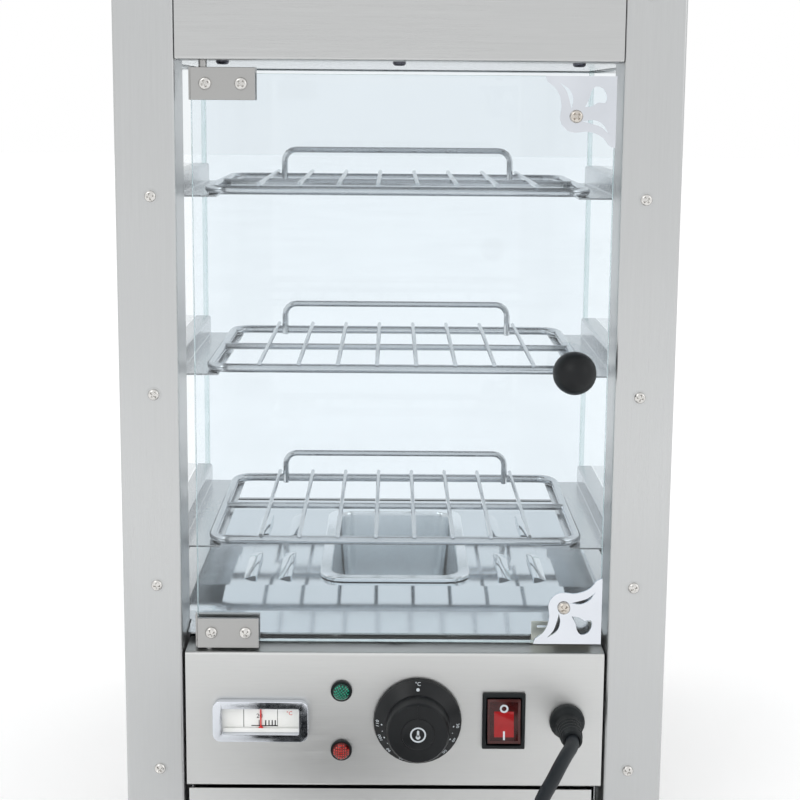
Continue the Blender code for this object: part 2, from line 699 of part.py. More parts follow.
def build_control_panel(steel):
    face = PANEL_FACE + SHEET / 2
    path = [(14.0, PANEL_BOTTOM + 0.6), (face, PANEL_BOTTOM + 0.6), (face, BASE_TOP - 0.6), (30.0, BASE_TOP - 0.6)]
    reach = OPENING_HALF - 1.5
    panel = extrude("control_panel", folded_sheet(path), "x", (-reach, reach), steel)
    row = CONTROL_Z
    cut(
        panel,
        rod((HINGE_X, HINGE_DEPTH, 0), PIN_HOLE_RADIUS, (BASE_TOP - 4, BASE_TOP + 3), "z"),
        boxes("thermometer_hole", ((THERMOMETER_X - 28.5, THERMOMETER_X + 28.5), (-4, 8), (row - 11.5, row + 11.5))),
        boxes("switch_hole", ((SWITCH_X - 12.9, SWITCH_X + 12.9), (-4, 8), (row - 17.9, row + 17.9))),
        rod((THERMOSTAT_X, 0, row), 4.5, (-4, 8)),
        rod((GLAND_X, 0, row), 7.0, (-4, 8)),
        *[rod((PILOT_X, 0, z), 5.5, (-4, 8)) for z in PILOT_Z.values()],
    )


def build_thermometer(chrome, dial, red):
    x, z = THERMOMETER_X, CONTROL_Z
    back = PANEL_FACE - GAP
    bezel = extrude("thermometer_bezel", rounded_rectangle(31.0, 13.8, 5.0, 4, (x, z)), "depth", (-4.0, back), chrome)
    cut(bezel, extrude("window", rounded_rectangle(25.0, 8.6, 1.0, 2, (x, z)), "depth", (-8, 4)))
    boxes("thermometer_dial", ((x - 27.5, x + 27.5), (back + 0.4, 26.0), (z - 10.5, z + 10.5)), material=dial)
    pivot = (x, 0.0, POINTER_Z)
    pointer = revolve("thermometer_pointer", [(0, -0.3), (1.7, -0.3), (1.7, 0.5), (0, 0.5)], pivot, "depth", red,
                      pivot, 12)
    join(pointer, boxes("needle", ((x - 0.45, x + 0.45), (-0.2, 0.4), (POINTER_Z, POINTER_Z + 13.6))))


def build_pilots(materials):
    profile = [(0, -5.2), (3.2, -4.6), (5.4, -2.6), (5.9, -0.7), (6.65, -0.6), (6.65, 0.5), (5.1, 0.5), (5.1, 22.0),
               (0, 22.0)]
    for name, z in PILOT_Z.items():
        revolve(name, profile, (PILOT_X, 0, z), "depth", materials[name], segments=24)


def build_thermostat(plastic, metal):
    x, z = THERMOSTAT_X, CONTROL_Z
    body = boxes("thermostat_body", ((x - 17, x + 17), (2.4, 34.0), (z - 15, z + 15)), material=metal)
    cut(body, rod((x, 0, z), 3.6, (0, 16.0)))
    profile = [(0, 13.0), (3.0, 13.0), (3.0, -0.2), (28.2, -0.2), (28.8, -1.2), (28.3, -3.2), (22.2, -7.4),
               (20.9, -8.6), (20.3, -19.4), (18.9, -21.2), (0, -21.6)]
    revolve("thermostat_knob", profile, (x, 0, z), "depth", plastic, (x, 0, z), 36)


def build_switch(plastic, red):
    x, z = SWITCH_X, CONTROL_Z
    housing = boxes("switch_housing", ((x - 14, x + 14), (-1.7, PANEL_FACE - GAP), (z - 19, z + 19)), material=plastic)
    join(housing, boxes("body", ((x - 12.4, x + 12.4), (0.0, 30.0), (z - 17.4, z + 17.4))))
    cut(housing, boxes("well", ((x - 11.3, x + 11.3), (-4.0, 16.0), (z - 16.3, z + 16.3))))
    outline = [(-4.0, -14.6), (-2.2, 0.0), (-4.0, 14.6), (6.0, 13.0), (9.0, 4.0), (9.0, -4.0), (6.0, -13.0)]
    tilted = []
    for depth, height in outline:
        reach = depth - ROCKER_DEPTH
        tilted.append((ROCKER_DEPTH + reach * math.cos(ROCKER_TILT) + height * math.sin(ROCKER_TILT),
                       z + height * math.cos(ROCKER_TILT) - reach * math.sin(ROCKER_TILT)))
    extrude("switch_rocker", tilted, "x", (x - 10.8, x + 10.8), red, (x, ROCKER_DEPTH, z))


def build_crumb_tray(steel):
    x = (-134.5, 130.0)
    bottom = CASE_BOTTOM + SHEET + GAP
    body = boxes("crumb_tray", (x, (1.4, 335.0), (bottom, 58.0)), material=steel)
    cut(body, boxes("inside", ((x[0] + 1, x[1] - 1), (1.4 + SHEET, 334.0), (bottom + 1, 62.0))))
    join(body, boxes("face", (x, (1.4, 1.4 + SHEET), (bottom, 68.2))))
    pull = extrude("pull", folded_sheet([(2.0, 46.0), (-10.0, 46.0), (-10.0, 39.0)], bend=2.0), "x", (-37.0, 33.0))
    join(body, pull)


# Cord ------------------------------------------------------------------------------------------


def build_gland(plastic):
    profile = [(0, 14.0), (9.0, 14.0), (9.0, 2.4), (6.5, 2.4), (6.5, 0.5), (11.5, 0.5), (11.5, -2.6), (10.6, -4.6),
               (8.8, -6.0), (7.8, -8.0), (6.6, GLAND_NOSE + 0.8), (5.8, GLAND_NOSE), (0, GLAND_NOSE)]
    revolve("cord_gland", profile, (GLAND_X, 0, CONTROL_Z), "depth", plastic, segments=24)


def build_cord(rubber):
    curve = bpy.data.curves.new("power_cord", "CURVE")
    curve.dimensions = "3D"
    curve.bevel_depth = CORD_RADIUS * 0.001
    curve.bevel_resolution = 2
    curve.use_fill_caps = True
    points = smooth_through(CORD_ROUTE, 2)
    spline = curve.splines.new("POLY")
    spline.points.add(len(points) - 1)
    for point, where in zip(spline.points, points):
        point.co = (*place(*where), 1.0)
    curve.materials.append(rubber)
    obj = bpy.data.objects.new("power_cord", curve)
    bpy.context.scene.collection.objects.link(obj)


def build_coil(rubber):
    inner, outer = COIL_RADII[0] - CORD_RADIUS, COIL_RADII[1] + CORD_RADIUS
    top = 2 * CORD_RADIUS * COIL_LAYERS + 0.4
    soft = 3.0
    profile = arc((outer - soft, soft), soft, -90, 0, 2) + arc((outer - soft, top - soft), soft, 0, 90, 2)
    profile += arc((inner + soft, top - soft), soft, 90, 180, 2) + arc((inner + soft, soft), soft, 180, 270, 2)
    revolve("cord_coil", profile, (*COIL_CENTRE, 0), "z", rubber, segments=32)


def build_plug(plastic):
    """A round two-pin plug on its side, its cord end towards the coil."""
    start, depth = PLUG_START
    profile = [(0, 0), (5.4, 0), (6.4, -12.0), (8.6, -22.0), (14.0, -27.0), (PLUG_RADIUS, -31.0), (PLUG_RADIUS, -50.0),
               (PLUG_RADIUS - 1.2, -52.0), (0, -52.0)]
    plug = revolve("power_plug", profile, (start, depth, PLUG_RADIUS), "x", plastic, segments=24)
    for side in (-1, 1):
        pin = [(0, -50.0), (2.4, -50.0), (2.4, -69.5), (1.4, -71.0), (0, -71.0)]
        join(plug, revolve("pin", pin, (start, depth + side * 9.5, PLUG_RADIUS), "x", segments=12))


def build():
    for obj in list(bpy.data.objects):
        bpy.data.objects.remove(obj)
    brushed = make_material("brushed_steel", (0.62, 0.61, 0.59), 0.34, 1.0)
    plain_steel = make_material("plain_steel", (0.60, 0.62, 0.63), 0.28, 1.0)
    polished = make_material("polished_steel", (0.72, 0.74, 0.75), 0.12, 1.0)
    chrome = make_material("chrome", (0.80, 0.82, 0.84), 0.07, 1.0)
    sheath = make_material("heater_sheath", (0.30, 0.30, 0.29), 0.50, 1.0)
    glass = make_material("clear_glass", (0.93, 0.98, 0.96), 0.02, 0.0, 1.0)
    black = make_material("black_plastic", (0.02, 0.02, 0.022), 0.40)
    rubber = make_material("black_rubber", (0.025, 0.025, 0.025), 0.70)
    magnet = make_material("magnet", (0.12, 0.12, 0.12), 0.60)
    dial = make_material("dial_white", (0.90, 0.90, 0.87), 0.45)
    red = make_material("pointer_red", (0.70, 0.03, 0.03), 0.40)
    red_lens = make_material("red_lens", (0.75, 0.04, 0.03), 0.12, 0.0, 0.4)
    green_lens = make_material("green_lens", (0.00, 0.45, 0.25), 0.12, 0.0, 0.4)

    build_posts(brushed)
    build_headers(brushed)
    build_roof(brushed)
    build_ceiling(plain_steel)
    build_glass_walls(glass)
    build_base_case(brushed)
    build_deck(plain_steel)
    build_tray_housing(plain_steel)
    build_feet(rubber)
    build_heater(sheath)
    build_floor_plate(polished)
    build_water_pan(polished)
    build_shelves(chrome)
    build_brackets(plain_steel)
    build_door_glass(glass)
    build_hinges(plain_steel)
    build_door_knob(black)
    build_corner_plates(chrome)
    build_catch(plain_steel, magnet)
    build_control_panel(brushed)
    build_thermometer(chrome, dial, red)
    build_pilots({"pilot_green": green_lens, "pilot_red": red_lens})
    build_thermostat(black, plain_steel)
    build_switch(black, red_lens)
    build_crumb_tray(brushed)
    build_gland(black)
    build_cord(rubber)
    build_coil(rubber)
    build_plug(black)


build()
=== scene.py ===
import math

import bmesh
import bpy
from mathutils import Matrix, Vector


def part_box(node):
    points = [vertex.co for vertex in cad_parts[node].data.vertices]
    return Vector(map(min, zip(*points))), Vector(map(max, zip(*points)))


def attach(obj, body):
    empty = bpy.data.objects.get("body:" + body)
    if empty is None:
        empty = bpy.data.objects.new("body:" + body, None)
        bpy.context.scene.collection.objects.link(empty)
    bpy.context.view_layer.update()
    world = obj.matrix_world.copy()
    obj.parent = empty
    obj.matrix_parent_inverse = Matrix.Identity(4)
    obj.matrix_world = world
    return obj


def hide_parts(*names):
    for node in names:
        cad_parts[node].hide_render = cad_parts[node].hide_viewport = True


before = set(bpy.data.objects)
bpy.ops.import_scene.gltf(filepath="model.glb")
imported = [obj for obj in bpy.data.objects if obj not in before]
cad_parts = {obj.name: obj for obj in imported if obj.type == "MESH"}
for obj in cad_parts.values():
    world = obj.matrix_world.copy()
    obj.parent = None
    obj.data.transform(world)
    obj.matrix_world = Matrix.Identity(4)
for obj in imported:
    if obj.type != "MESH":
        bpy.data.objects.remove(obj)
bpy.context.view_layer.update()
scene = bpy.context.scene

MM = 0.001
POST_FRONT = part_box("front_post_left")[0].y
SIDES = (-1, 1)

# Middles of what sits on the front, in millimetres: CONTROL_Z is the height of the row of controls
CONTROL_Z = 116.5
THERMOMETER_X = -87.1
PILOT_X = -34.6
PILOT_GREEN_Z = 136.4
PILOT_RED_Z = 95.8
THERMOSTAT_X = 15.0
SWITCH_X = 71.2
GLAND_X = 112.5


def at(x, depth, z):
    """A point from millimetres: right, back from the front of the posts, and up."""
    return Vector((x * MM, POST_FRONT + depth * MM, z * MM))


# Camera, light and floor -----------------------------------------------------------------------


CAMERA_PLACE = (-3.9, -896.7, 518.0)
CAMERA_YAW, CAMERA_PITCH, CAMERA_ROLL = 0.006, 0.148, 0.008
CAMERA_LENS = 65.3
CAMERA_SHIFT = -0.1075
FLOOR_REACH = 12.0
FLOOR_DROP = 0.0003


def make_camera():
    """The photo's viewpoint: in front, as high as the upper shelf, looking a little down."""
    data = bpy.data.cameras.new("camera")
    data.lens = CAMERA_LENS
    data.sensor_width = 36.0
    data.shift_y = CAMERA_SHIFT
    data.clip_start = 0.05
    data.clip_end = 50.0
    camera = bpy.data.objects.new("camera", data)
    scene.collection.objects.link(camera)
    yaw, pitch, roll = CAMERA_YAW, CAMERA_PITCH, CAMERA_ROLL
    ahead = Vector((math.sin(yaw) * math.cos(pitch), math.cos(yaw) * math.cos(pitch), -math.sin(pitch)))
    side = Vector((math.cos(yaw), -math.sin(yaw), 0))
    up = side.cross(ahead)
    right = side * math.cos(roll) + up * math.sin(roll)
    top = up * math.cos(roll) - side * math.sin(roll)
    turn = Matrix((right, top, -ahead)).transposed()
    camera.matrix_world = Matrix.Translation(at(*CAMERA_PLACE)) @ turn.to_4x4()
    scene.camera = camera


def area_light(name, place, target, size, power):
    data = bpy.data.lights.new(name, "AREA")
    data.shape = "RECTANGLE"
    data.size, data.size_y = size
    data.energy = power
    light = bpy.data.objects.new(name, data)
    scene.collection.objects.link(light)
    light.location = place
    light.rotation_euler = (Vector(target) - Vector(place)).to_track_quat("-Z", "Y").to_euler()


def make_studio():
    """A white room with two broad lamps and a white floor."""
    world = bpy.data.worlds.new("studio")
    world.use_nodes = True
    background = world.node_tree.nodes["Background"]
    background.inputs["Color"].default_value = (1.0, 1.0, 1.0, 1.0)
    background.inputs["Strength"].default_value = 1.0
    scene.world = world
    scene.view_settings.view_transform = "Standard"
    area_light("key", (-1.6, -2.2, 2.4), (0, 0, 0.35), (1.6, 1.6), 14)
    area_light("fill", (2.2, -1.4, 1.4), (0, 0, 0.3), (1.4, 1.8), 6)
    bm = bmesh.new()
    bmesh.ops.create_grid(bm, x_segments=1, y_segments=1, size=FLOOR_REACH)
    mesh = bpy.data.meshes.new("floor")
    bm.to_mesh(mesh)
    bm.free()
    floor = bpy.data.objects.new("floor", mesh)
    scene.collection.objects.link(floor)
    mesh.materials.append(floor_material())
    floor.location.z = -FLOOR_DROP


# Node helpers ----------------------------------------------------------------------------------


class Nodes:
    """Short hand for building a material's node tree."""

    def __init__(self, name):
        self.material = bpy.data.materials.new(name)
        self.material.use_nodes = True
        self.tree = self.material.node_tree
        self.shader = self.tree.nodes["Principled BSDF"]
        self.output = self.tree.nodes["Material Output"]
        self.place = self.add("ShaderNodeTexCoord").outputs["Object"]

    def add(self, kind, **settings):
        node = self.tree.nodes.new(kind)
        for key, value in settings.items():
            setattr(node, key, value)
        return node

    def link(self, source, target):
        self.tree.links.new(source, target)

    def set(self, **values):
        for key, value in values.items():
            self.shader.inputs[key.replace("_", " ")].default_value = value

    def stretched(self, scale):
        mapping = self.add("ShaderNodeMapping")
        mapping.inputs["Scale"].default_value = scale
        self.link(self.place, mapping.inputs["Vector"])
        return mapping.outputs["Vector"]

    def noise(self, scale, detail=3.0, roughness=0.5, stretch=None):
        node = self.add("ShaderNodeTexNoise")
        node.inputs["Scale"].default_value = scale
        node.inputs["Detail"].default_value = detail
        node.inputs["Roughness"].default_value = roughness
        self.link(self.stretched(stretch) if stretch else self.place, node.inputs["Vector"])
        return node.outputs["Fac"]

    def ramp(self, value, low, high, start=0.35, end=0.65):
        """A value or a colour that goes from low to high as the input goes from start to end."""
        if isinstance(low, (int, float)):
            node = self.add("ShaderNodeMapRange")
            for key, number in (("From Min", start), ("From Max", end), ("To Min", low), ("To Max", high)):
                node.inputs[key].default_value = number
            self.link(value, node.inputs["Value"])
            return node.outputs["Result"]
        node = self.add("ShaderNodeValToRGB")
        node.color_ramp.elements[0].position = start
        node.color_ramp.elements[1].position = end
        node.color_ramp.elements[0].color = (*low, 1)
        node.color_ramp.elements[1].color = (*high, 1)
        self.link(value, node.inputs["Fac"])
        return node.outputs["Color"]

    def mix(self, factor, first, second):
        """One colour faded into another; sockets 0, 6 and 7 are the colour mode's factor, A and B."""
        node = self.add("ShaderNodeMix", data_type="RGBA")
        for number, value in ((0, factor), (6, first), (7, second)):
            socket = node.inputs[number]
            if isinstance(value, bpy.types.NodeSocket):
                self.link(value, socket)
            elif isinstance(value, tuple):
                socket.default_value = (*value, 1)
            else:
                socket.default_value = value
        return node.outputs[2]

    def maths(self, operation, first, second=0.0):
        node = self.add("ShaderNodeMath", operation=operation)
        for socket, value in zip(node.inputs, (first, second)):
            if isinstance(value, bpy.types.NodeSocket):
                self.link(value, socket)
            else:
                socket.default_value = value
        return node.outputs[0]

    def bump(self, height, strength, distance=0.0005):
        node = self.add("ShaderNodeBump")
        node.inputs["Strength"].default_value = strength
        node.inputs["Distance"].default_value = distance
        self.link(height, node.inputs["Height"])
        self.link(node.outputs["Normal"], self.shader.inputs["Normal"])

    def colour(self, value):
        self.link(value, self.shader.inputs["Base Color"])

    def roughness(self, value):
        self.link(value, self.shader.inputs["Roughness"])


def scaled(colour, factor):
    return tuple(min(c * factor, 1.0) for c in colour)


def floor_material():
    """White paper, with a faint glow that keeps it as white as the room."""
    n = Nodes("studio_floor")
    n.colour(n.ramp(n.noise(3.0), (0.93, 0.93, 0.93), (0.96, 0.96, 0.96)))
    n.set(Roughness=0.85, Specular_IOR_Level=0.1, Emission_Color=(1, 1, 1, 1), Emission_Strength=0.12)
    return n.material


def brushed(name, grain, base, rough=(0.26, 0.36)):
    """Line-brushed sheet: fine and broad streaks along the axis where grain is small, and clouds."""
    n = Nodes(name)
    fine = n.noise(1.0, 3.0, 0.6, stretch=tuple(s * 4200 for s in grain))
    broad = n.noise(1.0, 2.0, 0.5, stretch=tuple(s * 700 for s in grain))
    cloud = n.noise(5.0, 2.0, 0.45)
    streaks = n.maths("ADD", n.maths("MULTIPLY", fine, 0.75), n.maths("MULTIPLY", broad, 0.25))
    tone = n.ramp(streaks, scaled(base, 0.955), scaled(base, 1.035), 0.34, 0.66)
    n.colour(n.mix(n.ramp(cloud, 0.0, 0.5, 0.35, 0.7), tone, scaled(base, 0.93)))
    n.roughness(n.maths("ADD", n.ramp(streaks, *rough, 0.35, 0.65), n.ramp(cloud, -0.02, 0.05)))
    n.bump(streaks, 0.05, 0.0001)
    n.set(Metallic=1.0, Anisotropic=0.5)
    return n.material


def satin_steel(name, base, rough=(0.20, 0.30), wave=0.0):
    """Cold-rolled or polished sheet: a soft mirror with faint mottling and, if polished, slow waves."""
    n = Nodes(name)
    mottle = n.noise(900.0, 2.0, 0.5)
    cloud = n.noise(9.0, 2.0, 0.5)
    n.colour(n.ramp(cloud, scaled(base, 0.96), base, 0.3, 0.7))
    n.roughness(n.maths("ADD", n.ramp(mottle, *rough, 0.2, 0.8), n.ramp(cloud, -0.02, 0.02)))
    if wave:
        n.bump(n.noise(14.0, 1.0, 0.4), wave, 0.002)
    else:
        n.bump(mottle, 0.02, 0.0001)
    n.set(Metallic=1.0)
    return n.material


def chrome_plate(name, base, rough=(0.05, 0.12)):
    """Bright plating with a fine haze and wide worn patches."""
    n = Nodes(name)
    haze = n.noise(240.0, 3.0, 0.6)
    wear = n.noise(34.0, 2.0, 0.5)
    n.colour(n.ramp(wear, scaled(base, 0.93), base, 0.3, 0.7))
    n.roughness(n.maths("ADD", n.ramp(haze, *rough, 0.3, 0.7), n.ramp(wear, -0.01, 0.03)))
    n.bump(wear, 0.03, 0.0003)
    n.set(Metallic=1.0)
    return n.material


def plastic(name, base, rough, grain=1800.0, depth=0.10, shine=0.3):
    """Moulded plastic, rubber, ink or card: a fine grain and faint dusty clouds."""
    n = Nodes(name)
    pores = n.noise(grain, 2.0, 0.6)
    cloud = n.noise(45.0, 2.0, 0.5)
    n.colour(n.ramp(cloud, base, tuple(min(c * 1.5 + 0.004, 1.0) for c in base), 0.3, 0.8))
    grainy = n.ramp(pores, rough - 0.04, rough + 0.05, 0.3, 0.7)
    n.roughness(n.maths("ADD", grainy, n.ramp(cloud, -0.02, 0.03)))
    n.bump(pores, depth, 0.0001)
    n.set(Specular_IOR_Level=shine)
    return n.material


def lens_plastic(name, base, deep, glow=0.0, clear=0.2, coat=0.3):
    """Coloured, partly clear plastic under a gloss; glow stands for the light that it gathers."""
    n = Nodes(name)
    cloud = n.noise(120.0, 2.0, 0.5)
    n.colour(n.ramp(cloud, deep, base, 0.3, 0.7))
    n.roughness(n.ramp(n.noise(400.0), 0.06, 0.14, 0.3, 0.7))
    n.bump(cloud, 0.05, 0.0002)
    n.set(Transmission_Weight=clear, Coat_Weight=coat, Coat_Roughness=0.04, Specular_IOR_Level=0.3)
    if glow:
        n.set(Emission_Color=(*base, 1), Emission_Strength=glow)
    return n.material


GLASS_IOR = 1.5


def pane_glass(name, across, tint=(0.932, 0.953, 0.967)):
    """Clear plate glass: its faces mirror by angle and let light through, its cut edges are green."""
    n = Nodes(name)
    smudge = n.noise(11.0, 4.0, 0.6)
    clear = n.add("ShaderNodeBsdfTransparent")
    cleaner = tuple(min(c + 0.008, 1.0) for c in tint)
    n.link(n.ramp(smudge, tint, cleaner, 0.35, 0.7), clear.inputs["Color"])
    mirror = n.add("ShaderNodeBsdfPrincipled")
    mirror.inputs["Base Color"].default_value = (0.96, 0.98, 0.98, 1)
    mirror.inputs["Metallic"].default_value = 1.0
    n.link(n.ramp(smudge, 0.015, 0.05, 0.4, 0.8), mirror.inputs["Roughness"])
    fresnel = n.add("ShaderNodeFresnel")
    fresnel.inputs["IOR"].default_value = GLASS_IOR
    surface = n.add("ShaderNodeNewGeometry")
    outside = n.maths("SUBTRACT", 1.0, surface.outputs["Backfacing"])
    face = n.add("ShaderNodeMixShader")
    n.link(n.maths("MULTIPLY", fresnel.outputs[0], outside), face.inputs[0])
    n.link(clear.outputs[0], face.inputs[1])
    n.link(mirror.outputs[0], face.inputs[2])
    n.colour(n.ramp(n.noise(60.0), (0.40, 0.58, 0.58), (0.58, 0.74, 0.75), 0.3, 0.7))
    n.set(Roughness=0.16, Transmission_Weight=0.55, IOR=GLASS_IOR)
    normal = n.add("ShaderNodeSeparateXYZ")
    n.link(n.place.node.outputs["Normal"], normal.inputs[0])
    edge = n.maths("LESS_THAN", n.maths("ABSOLUTE", normal.outputs[across]), 0.8)
    both = n.add("ShaderNodeMixShader")
    n.link(edge, both.inputs[0])
    n.link(face.outputs[0], both.inputs[1])
    n.link(n.shader.outputs[0], both.inputs[2])
    n.link(both.outputs[0], n.output.inputs["Surface"])
    return n.material


ALONG_X, ALONG_Y, ALONG_Z = (0.012, 1.0, 1.0), (1.0, 0.012, 1.0), (1.0, 1.0, 0.012)
STEEL = (0.535, 0.545, 0.548)
MATERIALS = {
    "post": brushed("steel_brushed_upright", ALONG_Z, STEEL),
    "front": brushed("steel_brushed_across", ALONG_X, (0.535, 0.542, 0.542)),
    # Painted light: the same brushed steel as the posts with a lighter base, so the control panel and the
    # crumb tray look evenly lit
    "panel": brushed("steel_brushed_panel", ALONG_X, (0.63, 0.637, 0.632), (0.34, 0.44)),
    "side": brushed("steel_brushed_sides", ALONG_Y, STEEL),
    "sheet": satin_steel("steel_plain_sheet", (0.62, 0.63, 0.64)),
    "hinge": satin_steel("steel_hinge", (0.42, 0.42, 0.415), (0.28, 0.38)),
    "polished": satin_steel("steel_polished", (0.70, 0.74, 0.77), (0.06, 0.12), 0.10),
    # Partly painted light: a bright pressed steel whose base is raised further to stand in for the white
    # room reflected in the pan
    "pan": satin_steel("steel_pressed_pan", (0.88, 0.91, 0.93), (0.21, 0.23), 0.05),
    "chrome": chrome_plate("chrome_bright", (0.70, 0.73, 0.78)),
    "wire": chrome_plate("wire_plated", (0.62, 0.64, 0.66), (0.14, 0.24)),
    "sheath": satin_steel("heater_sheath_dark", (0.20, 0.19, 0.18), (0.4, 0.55)),
    "catch": satin_steel("steel_catch", (0.66, 0.65, 0.58), (0.45, 0.55)),
    "screw": chrome_plate("screw_zinc", (0.66, 0.65, 0.63), (0.14, 0.24)),
    "dark_screw": chrome_plate("screw_dark", (0.10, 0.10, 0.12), (0.25, 0.40)),
    "warm_screw": chrome_plate("screw_warm", (0.62, 0.58, 0.53), (0.20, 0.32)),
    # Dark steel for the blocks in the louvres' open ends: painted shadow
    "louvre_shadow": satin_steel("steel_in_shadow", (0.20, 0.21, 0.22), (0.3, 0.4)),
    "pane_x": pane_glass("glass_side", "X", (0.968, 0.981, 0.987)),
    "pane_y": pane_glass("glass_front", "Y"),
    "knob": plastic("plastic_black_knob", (0.004, 0.005, 0.006), 0.38, shine=0.24),
    "dial": plastic("plastic_black_dial", (0.006, 0.007, 0.008), 0.34, shine=0.25),
    "housing": plastic("plastic_black_housing", (0.006, 0.008, 0.009), 0.40, shine=0.22),
    "rubber": plastic("rubber_black_cord", (0.009, 0.012, 0.015), 0.45, 900.0, 0.12, 0.25),
    "foot": plastic("rubber_black_foot", (0.018, 0.018, 0.018), 0.62, 900.0, 0.2),
    "magnet": plastic("magnet_grey", (0.07, 0.07, 0.075), 0.5),
    "card": plastic("dial_card_white", (0.82, 0.83, 0.80), 0.40, 700.0, 0.03),
    "ink": plastic("ink_black", (0.012, 0.012, 0.014), 0.45),
    "white_ink": plastic("ink_white", (0.50, 0.54, 0.57), 0.45),
    "needle": plastic("needle_red", (0.60, 0.03, 0.03), 0.35),
    # The pilot lenses' plastic in two copies: a lighter glowing one for the pyramids as painted light, and
    # a darker one without glow for the lens between them as painted shade
    "green": lens_plastic("lens_green", (0.004, 0.30, 0.18), (0.002, 0.20, 0.12), 0.30),
    "green_valley_shade": lens_plastic("lens_green_valley", (0.001, 0.05, 0.035), (0.001, 0.03, 0.02)),
    "red": lens_plastic("lens_red", (0.56, 0.035, 0.025), (0.40, 0.018, 0.014), 0.28),
    "red_valley_shade": lens_plastic("lens_red_valley", (0.13, 0.008, 0.006), (0.08, 0.004, 0.004)),
    "rocker": lens_plastic("rocker_red", (0.055, 0.006, 0.006), (0.03, 0.004, 0.004), 0.0, 0.1, 0.15),
    "rocker_rim": lens_plastic("rocker_brown", (0.09, 0.022, 0.02), (0.055, 0.014, 0.013), 0.0, 0.1, 0.15),
    "rocker_core": lens_plastic("rocker_glow", (0.34, 0.012, 0.014), (0.26, 0.01, 0.012), 0.16, 0.1, 0.1),
}

NODE_LOOK = {
    "post": ("front_post_left", "front_post_right"),
    "front": ("header_front", "header_rear", "base_rear"),
    "panel": ("control_panel", "crumb_tray"),
    "side": ("header_left", "header_right", "base_side_left", "base_side_right", "roof_panel"),
    "sheet": ("ceiling_panel", "deck", "tray_housing", "base_bottom", "thermostat_body", "strike_plate",
              "bracket_bottom_left", "bracket_bottom_right", "bracket_middle_left",
              "bracket_middle_right", "bracket_top_left", "bracket_top_right"),
    "catch": ("catch_angle",),
    "hinge": ("hinge_upper_front", "hinge_upper_back", "hinge_lower_front", "hinge_lower_back"),
    "polished": ("floor_plate",),
    "pan": ("water_pan",),
    "chrome": ("corner_plate_upper", "corner_plate_lower", "thermometer_bezel"),
    "wire": ("shelf_bottom", "shelf_middle", "shelf_top"),
    "sheath": ("heating_element", "heater_support"),
    "pane_x": ("side_glass_left", "side_glass_right"),
    "pane_y": ("rear_glass", "door_glass"),
    "knob": ("door_knob",),
    "dial": ("thermostat_knob",),
    "housing": ("switch_housing", "cord_gland", "power_plug"),
    "rubber": ("power_cord", "cord_coil"),
    "foot": ("foot_front_left", "foot_front_right", "foot_rear_left", "foot_rear_right"),
    "magnet": ("catch_magnet",),
    "card": ("thermometer_dial",),
    "needle": ("thermometer_pointer",),
    # The lens under the pyramids takes the darker copy: painted shade in the valleys between them
    "green_valley_shade": ("pilot_green",),
    "red_valley_shade": ("pilot_red",),
    "rocker": ("switch_rocker",),
}
# The radius of a node's edges in millimetres, where it isn't the usual one
EDGE_RADIUS = 0.15
SOFT_EDGES = {
    0.25: ("crumb_tray", "corner_plate_upper", "corner_plate_lower"),
    0.3: ("header_front", "header_left", "header_right", "header_rear", "control_panel", "roof_panel",
          "base_side_left", "base_side_right", "base_rear"),
    0.35: ("front_post_left", "front_post_right"),
    0.4: ("side_glass_left", "side_glass_right", "rear_glass", "thermostat_knob"),
    0.5: ("door_glass",),
    0.7: ("thermometer_bezel",),
    0.8: ("switch_housing",),
    0.9: ("switch_rocker",),
}
BEVEL_FROM = math.radians(40)
SHARP_FROM = math.radians(35)


def dress_nodes():
    """Gives every CAD node its material, welded corners, small edge radii and smooth shading."""
    radii = {name: radius for radius, names in SOFT_EDGES.items() for name in names}
    for look, names in NODE_LOOK.items():
        for name in names:
            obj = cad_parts[name]
            obj.data.materials.clear()
            obj.data.materials.append(MATERIALS[look])
            for attribute in ("custom_normal", "sharp_edge", "sharp_face"):
                if attribute in obj.data.attributes:
                    obj.data.attributes.remove(obj.data.attributes[attribute])
            obj.data.shade_smooth()
            weld = obj.modifiers.new("weld", "WELD")
            weld.merge_threshold = 0.00001
            bevel = obj.modifiers.new("edges", "BEVEL")
            bevel.limit_method = "ANGLE"
            bevel.angle_limit = BEVEL_FROM
            bevel.width = radii.get(name, EDGE_RADIUS) * MM
            bevel.segments = 2
            bevel.use_clamp_overlap = True
            normals = obj.modifiers.new("normals", "WEIGHTED_NORMAL")
            normals.keep_sharp = True


# Small parts ----------------------------------------------------------------------------------


def facing(x, depth, z, turn=0.0):
    """A frame in millimetres on a front face: its x goes right, its y up and its z towards the viewer."""
    return (Matrix.Translation(at(x, depth, z)) @ Matrix.Rotation(math.pi / 2, 4, "X")
            @ Matrix.Rotation(turn, 4, "Z") @ Matrix.Scale(MM, 4))


def hanging(x, depth, z):
    """A frame in millimetres under a flange: its z goes down."""
    return Matrix.Translation(at(x, depth, z)) @ Matrix.Rotation(math.pi, 4, "X") @ Matrix.Scale(MM, 4)


